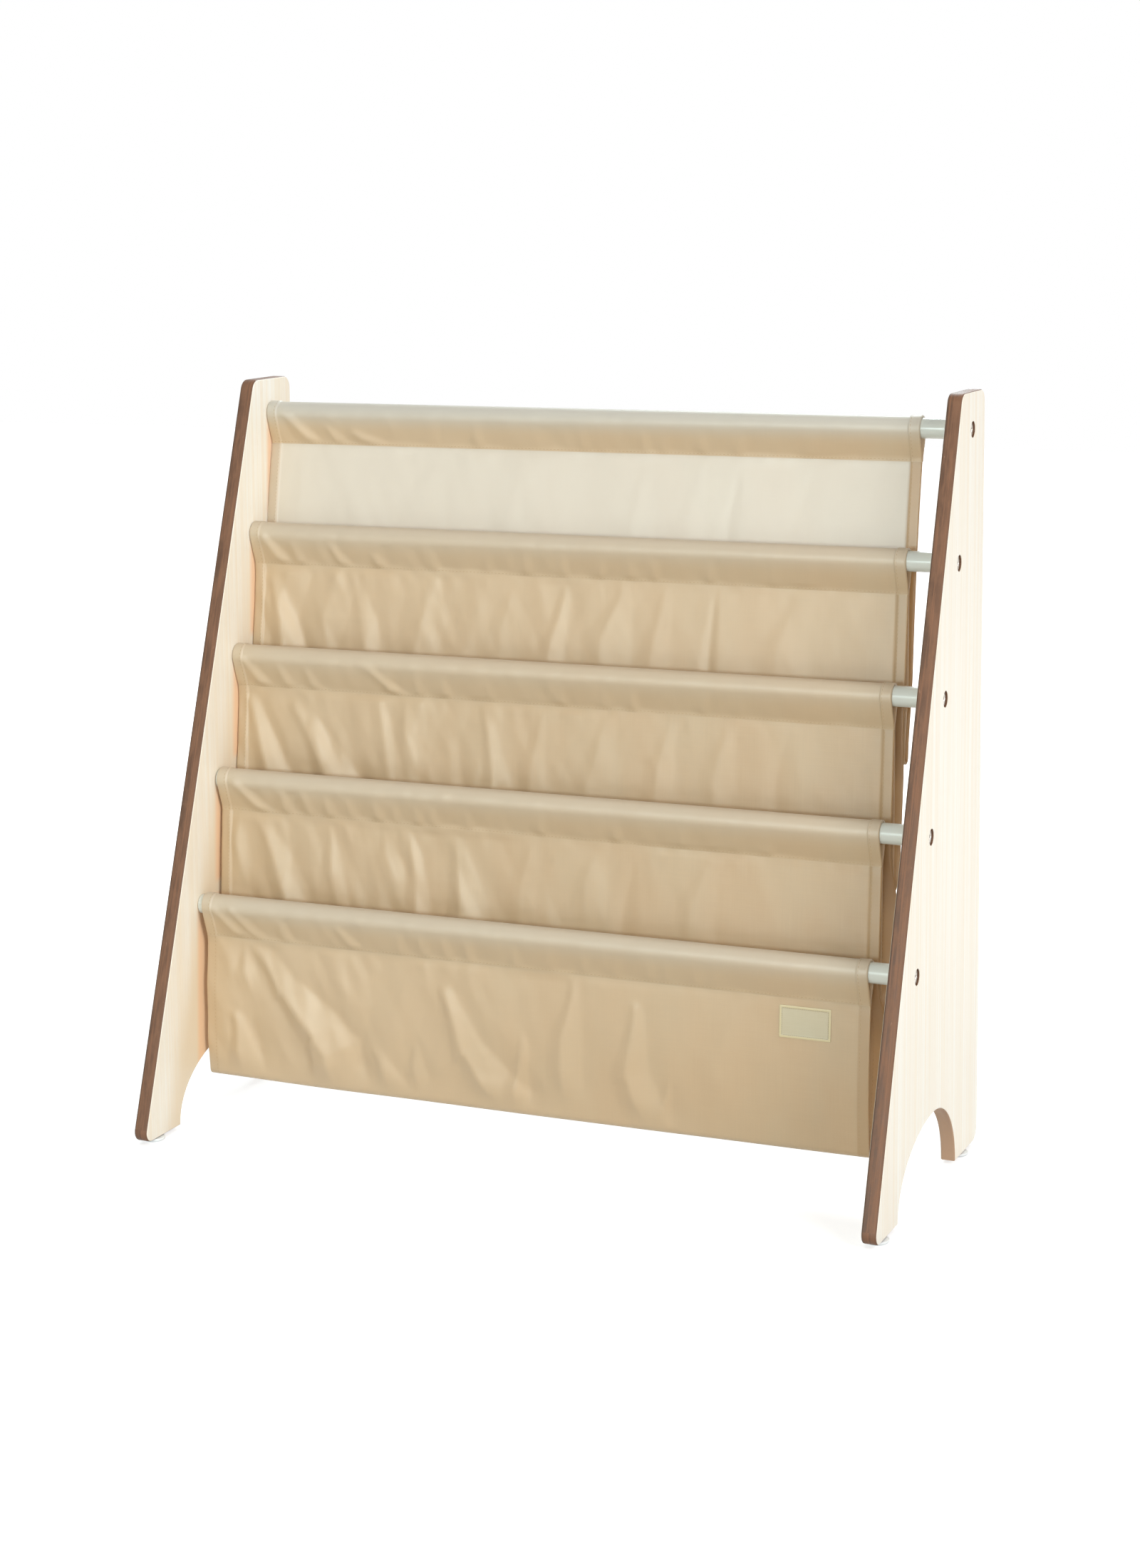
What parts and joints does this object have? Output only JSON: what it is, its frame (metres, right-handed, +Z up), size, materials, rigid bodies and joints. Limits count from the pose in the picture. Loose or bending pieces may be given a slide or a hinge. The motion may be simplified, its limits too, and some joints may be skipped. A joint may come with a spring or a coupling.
{
  "type": "sling bookshelf",
  "caption": "Child's sling bookshelf: two leaning side panels joined by cross rods, with a canvas strip hung over the rods in stepped book pockets.",
  "frame": {"origin": "on the floor, under the centre of the shelf's bounding box", "axes": "+X runs along the rods to the viewer's right, -Y is the open front that the books face, +Y is the upright back edge, +Z is up"},
  "size_m": [0.628, 0.2671, 0.603],
  "materials": {
    "edge_fibreboard": "sealed brown fibreboard core, seen at every panel edge",
    "maple_laminate": "satin pale maple-grain laminate",
    "white_coated_tube": "satin white powder coat",
    "plug_plastic": "matte threaded plug",
    "bolt_steel": "plain steel with a hex socket",
    "glide_plastic": "pale grey-blue satin plastic",
    "canvas": "beige plain-weave polyester canvas with a soft sheen",
    "label_cloth": "bare cream woven label"
  },
  "bodies": {
    "root": {"left_panel_core": "edge_fibreboard", "left_panel_inner_laminate": "maple_laminate", "left_panel_outer_laminate": "maple_laminate", "left_front_glide": "glide_plastic", "left_rear_glide": "glide_plastic", "right_panel_core": "edge_fibreboard", "right_panel_inner_laminate": "maple_laminate", "right_panel_outer_laminate": "maple_laminate", "right_front_glide": "glide_plastic", "right_rear_glide": "glide_plastic", "rod_1": "white_coated_tube", "left_rod_plug_1": "plug_plastic", "left_bolt_1": "bolt_steel", "right_rod_plug_1": "plug_plastic", "right_bolt_1": "bolt_steel", "sling_sleeve_1": "canvas", "rod_2": "white_coated_tube", "left_rod_plug_2": "plug_plastic", "left_bolt_2": "bolt_steel", "right_rod_plug_2": "plug_plastic", "right_bolt_2": "bolt_steel", "sling_sleeve_2": "canvas", "rod_3": "white_coated_tube", "left_rod_plug_3": "plug_plastic", "left_bolt_3": "bolt_steel", "right_rod_plug_3": "plug_plastic", "right_bolt_3": "bolt_steel", "sling_sleeve_3": "canvas", "rod_4": "white_coated_tube", "left_rod_plug_4": "plug_plastic", "left_bolt_4": "bolt_steel", "right_rod_plug_4": "plug_plastic", "right_bolt_4": "bolt_steel", "sling_sleeve_4": "canvas", "rod_5": "white_coated_tube", "left_rod_plug_5": "plug_plastic", "left_bolt_5": "bolt_steel", "right_rod_plug_5": "plug_plastic", "right_bolt_5": "bolt_steel", "sling_sleeve_5": "canvas", "sling_pocket_1": "canvas", "sling_pocket_2": "canvas", "sling_pocket_3": "canvas", "sling_pocket_4": "canvas", "label": "label_cloth"}
  },
  "joints": []
}
